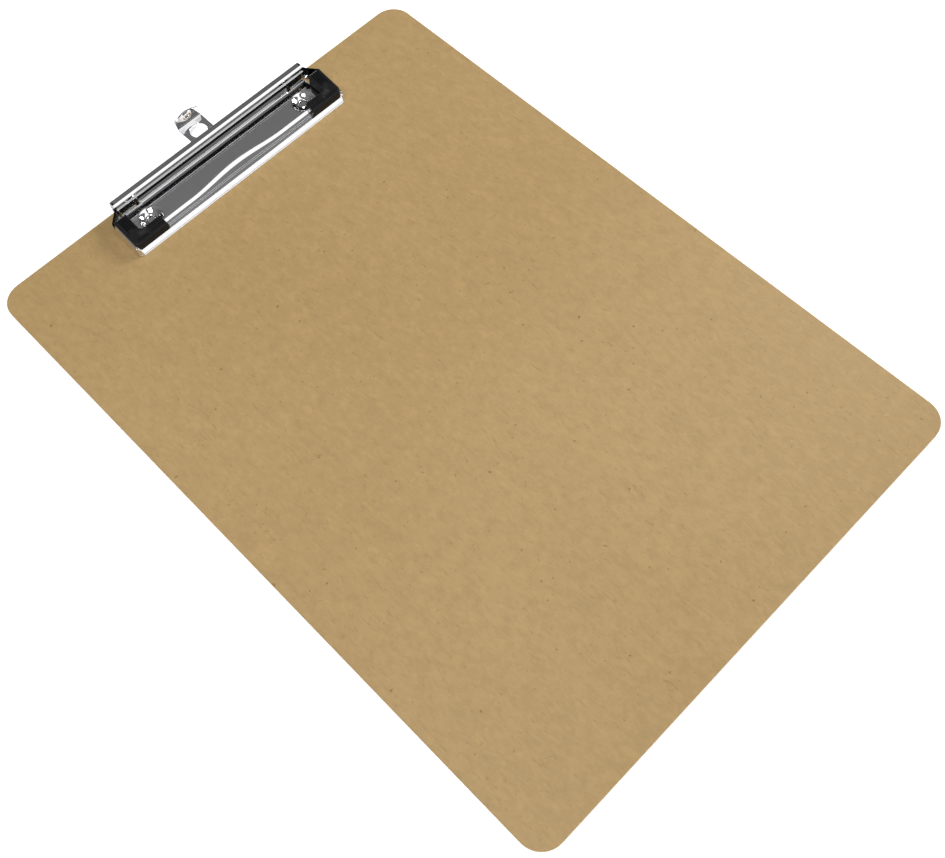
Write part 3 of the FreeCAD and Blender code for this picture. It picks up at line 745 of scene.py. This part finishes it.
def spring(side, name):
    """Torsion spring: foot under the plate, coil round the rod, tip up into the thumb bar."""
    front_y = HINGE_Y - COIL_R
    path = [(COIL_INNER_X, front_y - FOOT_BEND_R - 2.8, FOOT_H),
            (COIL_INNER_X, front_y - FOOT_BEND_R, FOOT_H)]
    for i in range(1, 9):
        turn = i * math.pi / 16
        path.append((COIL_INNER_X, front_y - FOOT_BEND_R + FOOT_BEND_R * math.sin(turn),
                     FOOT_H + FOOT_BEND_R * (1 - math.cos(turn))))
    path.append((COIL_INNER_X, front_y, HINGE_H - 0.4))
    steps = round(COIL_TURNS * 24)
    for i in range(steps + 1):
        turn = i * math.pi / 12
        path.append((COIL_INNER_X + (COIL_OUTER_X - COIL_INNER_X) * i / steps,
                     HINGE_Y - COIL_R * math.cos(turn), HINGE_H + COIL_R * math.sin(turn)))
    lead = math.radians(45)
    tip = (COIL_OUTER_X, path[-1][1] + math.sin(lead) * TIP_LENGTH, path[-1][2] + math.cos(lead) * TIP_LENGTH)
    path.append(tip)
    points = [at(side * x, y, h) for x, y, h in path]
    piece = tube(name + "_coil", points, WIRE_R, "spring_steel")
    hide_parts(name)
    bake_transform(piece)


# ---------------------------------------------------------------- corner grips

GRIP_END_X = grip_low.x
GRIP_OUTER_X = grip_high.x
GRIP_FRONT_Y = grip_low.y
GRIP_REAR_Y = grip_high.y
GRIP_INNER_X = 52.0
GRIP_ARM_REAR_Y = LIP_Y + 6.7
GRIP_T = 1.9
GRIP_FLOOR_H = 3.25
GRIP_CORNER_R = 2.2
GRIP_INNER_R = 1.5
GRIP_EDGE_R = 0.5
RIB_COUNT = 4
RIB_DEPTH = 0.6
RIB_OUTER_MARGIN = 0.2
RIB_INNER_END = 0.9


def grip_edges():
    """Pairs of plan points (outer edge, inner edge, rib strength, end drop) along the L."""
    pairs = []
    inner_centre = Vector((GRIP_INNER_X - GRIP_INNER_R, GRIP_ARM_REAR_Y + GRIP_INNER_R))
    for x, drop in ((0.0, 0.5), (0.05, 0.3), (0.2, 0.12), (0.5, 0.0)):
        x += GRIP_END_X
        pairs.append((Vector((x, GRIP_FRONT_Y)), Vector((x, GRIP_ARM_REAR_Y)), 1.0, drop))
    arm_end = inner_centre.x
    for x in spread(GRIP_END_X + 1.0, arm_end - 1.2, 10):
        pairs.append((Vector((x, GRIP_FRONT_Y)), Vector((x, GRIP_ARM_REAR_Y)), 1.0, 0.0))
    corner = Vector((GRIP_OUTER_X - GRIP_CORNER_R, GRIP_FRONT_Y + GRIP_CORNER_R))
    outer = [Vector((x, GRIP_FRONT_Y)) for x in spread(arm_end - 0.4, corner.x, 8)]
    for i in range(1, 8):
        turn = i * math.pi / 16
        outer.append(corner + Vector((math.sin(turn), -math.cos(turn))) * GRIP_CORNER_R)
    outer += [Vector((GRIP_OUTER_X, y)) for y in spread(corner.y, inner_centre.y + 0.4, 8)]
    count = len(outer)
    for i, point in enumerate(outer):
        turn = min(max((i / (count - 1) - 0.06) / 0.88, 0.0), 1.0) * math.pi / 2
        inner = inner_centre + Vector((math.sin(turn), -math.cos(turn))) * GRIP_INNER_R
        if i == 0:
            inner = Vector((point.x, GRIP_ARM_REAR_Y))
        if i == count - 1:
            inner = Vector((GRIP_INNER_X, point.y))
        pairs.append((point, inner, 0.0 if 0 < i < count - 1 else 0.3, 0.0))
    for y in spread(inner_centre.y + 1.2, GRIP_REAR_Y - 1.0, 8):
        pairs.append((Vector((GRIP_OUTER_X, y)), Vector((GRIP_INNER_X, y)), 1.0, 0.0))
    for y, drop in ((0.5, 0.0), (0.2, 0.12), (0.05, 0.3), (0.0, 0.5)):
        y = GRIP_REAR_Y - y
        pairs.append((Vector((GRIP_OUTER_X, y)), Vector((GRIP_INNER_X, y)), 1.0, drop))
    return pairs


def rib_wave(t):
    """Groove depth, 0 to 1, across an arm: grooves between flat ribs, plain at both margins."""
    if t < RIB_OUTER_MARGIN or t > RIB_INNER_END:
        return 0.0
    phase = (t - RIB_OUTER_MARGIN) / (RIB_INNER_END - RIB_OUTER_MARGIN) * RIB_COUNT
    return max(0.0, math.sin(phase * 2 * math.pi - math.pi / 2) * 0.5 + 0.5) ** 0.8


def grip_section(outer, inner, rib, drop):
    """Closed cross-section of the grip at one station, from the outer skirt over the top."""
    width = (inner - outer).length
    row = []

    def top(point):
        return slope_height(point.y) + GRIP_T - drop

    def add(point, h):
        row.append(at(point.x, point.y, h))

    add(outer, GRIP_FLOOR_H)
    for i in range(5):
        turn = i * math.pi / 8
        t = GRIP_EDGE_R * (1 - math.cos(turn)) / width
        point = outer.lerp(inner, t)
        add(point, top(point) - GRIP_EDGE_R * (1 - math.sin(turn)))
    samples = 44
    start = GRIP_EDGE_R / width
    dish = (1 - rib) if drop == 0 else 0.0
    for i in range(1, samples):
        t = start + (1 - 2 * start) * i / samples
        point = outer.lerp(inner, t)
        hollow = 0.45 * dish * math.sin(math.pi * min(max((t - 0.12) / 0.8, 0.0), 1.0)) ** 2
        add(point, top(point) - RIB_DEPTH * rib * rib_wave(t) - hollow)
    for i in range(5):
        turn = (4 - i) * math.pi / 8
        t = 1 - GRIP_EDGE_R * (1 - math.cos(turn)) / width
        point = outer.lerp(inner, t)
        add(point, top(point) - GRIP_EDGE_R * (1 - math.sin(turn)))
    add(inner, GRIP_FLOOR_H)
    return row


def corner_grip(side, name):
    """L-shaped moulded grip on one front corner of the clip."""
    rows = [grip_section(*pair) for pair in grip_edges()]
    points = [Vector((side * p.x, p.y, p.z)) for row in rows for p in row]
    faces = loop_faces(len(rows), len(rows[0]))
    if side < 0:
        faces = [tuple(reversed(face)) for face in faces]
    add_piece(name + "_moulded", points, faces, "grip_rubber", "clip", (name,), 45.0)


# ---------------------------------------------------------------- hanging hook

HOOK_X = (hook_low.x + hook_high.x) / 2
HOOK_HALF_W = 6.5
HOOK_T = 0.8
HOOK_TOP_H = 1.2
HOOK_HOLE_R = 4.0
HOOK_HOLE_Y = board_high.y + 7.0
HOOK_TAB_Y = board_high.y + 14.0
HOOK_BEND_R = 0.9
HOOK_SIDE_H = 5.4
HOOK_CROWN_H = 7.05
HOOK_SEGMENTS = 20


def hook_neck():
    """Flat of the hook: a plain strip, then a square round the nail hole, as points and faces."""
    square_front = HOOK_HOLE_Y - HOOK_HALF_W
    square_rear = HOOK_TAB_Y - HOOK_BEND_R
    n = HOOK_SEGMENTS
    points = []
    xs = spread(-HOOK_HALF_W, HOOK_HALF_W, n + 1)
    front_rows = spread(hook_low.y, square_front, 4)
    for y in front_rows:
        points += [at(HOOK_X + x, y, HOOK_TOP_H) for x in xs]
    faces = [tuple(reversed(face)) for face in strip_faces(len(front_rows), n + 1)]
    border = [(x, square_front) for x in xs]
    border += [(HOOK_HALF_W, y) for y in spread(square_front, square_rear, n + 1)[1:]]
    border += [(x, square_rear) for x in reversed(xs[:-1])]
    border += [(-HOOK_HALF_W, y) for y in reversed(spread(square_front, square_rear, n + 1)[1:-1])]
    first = len(points)
    rings = 7
    for k in range(rings):
        share = k / (rings - 1)
        for x, y in border:
            direction = Vector((x, y - HOOK_HOLE_Y)).normalized() * HOOK_HOLE_R
            ring = Vector((x, y - HOOK_HOLE_Y)).lerp(direction, share ** 0.8)
            points.append(at(HOOK_X + ring.x, HOOK_HOLE_Y + ring.y, HOOK_TOP_H))
    count = len(border)
    for k in range(rings - 1):
        for j in range(count):
            m = (j + 1) % count
            a = first + k * count
            faces.append((a + j, a + m, a + count + m, a + count + j))
    return points, faces, xs, square_rear


def hanging_hook():
    """Neck with the nail hole, bent up at its rear into a crowned, dimpled tab."""
    points, faces, xs, start_y = hook_neck()
    rows = []
    for i in range(9):
        turn = i * math.pi / 16
        y = start_y + HOOK_BEND_R * math.sin(turn)
        h = HOOK_TOP_H + HOOK_BEND_R * (1 - math.cos(turn))
        rows.append([(x, y, h) for x in xs])
    base_h = HOOK_TOP_H + HOOK_BEND_R
    for i in range(1, 15):
        share = i / 14
        row = []
        for x in xs:
            crown = HOOK_SIDE_H + (HOOK_CROWN_H - HOOK_SIDE_H) * (1 - (x / HOOK_HALF_W) ** 2)
            h = base_h + (crown - base_h) * share
            reach = math.hypot(x / 3.4, (h - 5.3) / 2.6)
            push = 0.4 * smooth_step(1.0 - reach) if reach < 1 else 0.0
            lean = 0.12 * (h - base_h)
            row.append((x, HOOK_TAB_Y + push + lean, h))
        rows.append(row)
    first = len(points)
    points += [at(HOOK_X + x, y, h) for row in rows for x, y, h in row]
    faces += [tuple(reversed(face)) for face in strip_faces(len(rows), len(xs), first)]
    piece = add_piece("hanging_hook_bent", points, faces, "plated_steel", "hook", ("hanging_hook",),
                      thickness=HOOK_T)
    soften(piece, 0.15)
    flat_shading(piece)


# ---------------------------------------------------------------- build

clip_tray()
thumb_bar()
plate_sheet()
plate_barrel()
hinge_rod()
corner_grip(-1, "corner_grip_left")
corner_grip(1, "corner_grip_right")
hanging_hook()
for side, hand in ((-1, "left"), (1, "right")):
    hinge_lug(side, "clip_frame_lug_" + hand)
    plate_bead(side, "base_plate_bead_" + hand)
    plate_upstand(side, "base_plate_upstand_" + hand)
    spring(side, "torsion_spring_" + hand)
    rivet(side, "rivet_" + hand)

# ---------------------------------------------------------------- stage


FLOOR_REACH = 6.0
FLOOR_Z = -0.0002
FLOOR_GLOW = 0.45
CAMERA_PLACE = (-0.14447, -0.17718, 0.4132)
CAMERA_RIGHT = (0.70822, -0.70501, -0.03728)
CAMERA_UP = (0.64862, 0.6289, 0.42869)
CAMERA_BACK = (-0.27878, -0.32779, 0.90268)
CAMERA_LENS = 44.27
WORLD_STRENGTH = 1.25
LIGHT_SIZE = 0.3
LIGHT_POWER = 5.0


def floor():
    """Pale floor just under the board, glowing a little so that it stays white."""
    mesh = bpy.data.meshes.new("floor")
    signs = ((-1, -1), (1, -1), (1, 1), (-1, 1))
    corners = [(x * FLOOR_REACH, y * FLOOR_REACH, FLOOR_Z) for x, y in signs]
    mesh.from_pydata(corners, [], [(0, 1, 2, 3)])
    piece = bpy.data.objects.new("floor", mesh)
    bpy.context.scene.collection.objects.link(piece)
    material, tree, shader = new_material("floor_white")
    shader.inputs["Base Color"].default_value = (0.9, 0.9, 0.9, 1.0)
    shader.inputs["Emission Color"].default_value = (1.0, 1.0, 1.0, 1.0)
    shader.inputs["Emission Strength"].default_value = FLOOR_GLOW
    shader.inputs["Roughness"].default_value = 0.9
    shader.inputs["Specular IOR Level"].default_value = 0.0
    mesh.materials.append(material)


def camera():
    """Camera at the photograph's viewing angle."""
    data = bpy.data.cameras.new("camera")
    data.sensor_width = 36.0
    data.lens = CAMERA_LENS
    piece = bpy.data.objects.new("camera", data)
    bpy.context.scene.collection.objects.link(piece)
    turn = Matrix((CAMERA_RIGHT, CAMERA_UP, CAMERA_BACK)).transposed().to_4x4()
    piece.matrix_world = Matrix.Translation(CAMERA_PLACE) @ turn
    bpy.context.scene.camera = piece
    data.clip_start = 0.01


def area(name, away, aim):
    """A square soft light at a distance from the point it is aimed at."""
    data = bpy.data.lights.new(name, "AREA")
    data.shape = "RECTANGLE"
    data.size = LIGHT_SIZE
    data.size_y = LIGHT_SIZE
    data.energy = LIGHT_POWER
    piece = bpy.data.objects.new(name, data)
    bpy.context.scene.collection.objects.link(piece)
    place = aim + Vector(away)
    piece.location = place
    piece.rotation_mode = "QUATERNION"
    piece.rotation_quaternion = (aim - place).to_track_quat("-Z", "Y")
    piece.visible_camera = False


def world():
    """By direction: a white band low in front, a white patch high behind on the right, dim elsewhere."""
    sky = bpy.data.worlds.new("studio")
    sky.use_nodes = True
    tree = sky.node_tree
    background = tree.nodes["Background"]
    coordinate = tree.nodes.new("ShaderNodeTexCoord")
    split = tree.nodes.new("ShaderNodeSeparateXYZ")
    tree.links.new(coordinate.outputs["Generated"], split.inputs["Vector"])
    shares = {}
    for axis in "XYZ":
        share = tree.nodes.new("ShaderNodeMapRange")
        share.inputs["From Min"].default_value = -1.0
        tree.links.new(split.outputs[axis], share.inputs["Value"])
        shares[axis] = share.outputs["Result"]
    rear = ramp(tree, shares["Z"], [
        (0.5, grey(0.30)), (0.62, grey(0.10)), (0.80, grey(0.09)), (0.88, grey(0.14)), (1.0, grey(0.20))])
    white, black = grey(1.0), grey(0.0)
    behind = ramp(tree, shares["Y"], [(0.45, black), (0.55, white)])
    colour = mix(tree, "MIX", behind, grey(0.14), rear)
    low = ramp(tree, shares["Z"], [(0.63, white), (0.72, black)])
    low = mix(tree, "MULTIPLY", 1.0, low, ramp(tree, shares["Y"], [(0.44, white), (0.5, black)]))
    high = ramp(tree, shares["Z"], [(0.92, black), (0.935, white)])
    high = mix(tree, "MULTIPLY", 1.0, high, ramp(tree, shares["Y"], [(0.56, white), (0.59, black)]))
    high = mix(tree, "MULTIPLY", 1.0, high, ramp(tree, shares["X"], [(0.5, black), (0.55, white)]))
    colour = mix(tree, "LIGHTEN", 1.0, colour, mix(tree, "ADD", 1.0, low, high))
    tree.links.new(colour, background.inputs["Color"])
    background.inputs["Strength"].default_value = WORLD_STRENGTH
    bpy.context.scene.world = sky


floor()
camera()
world()
clip_centre = at(0, 145, 2)
area("overhead", (-0.35, -0.27, 0.89), clip_centre)
area("right", (0.78, -0.12, 0.61), clip_centre)

bpy.context.scene.view_settings.view_transform = "Standard"
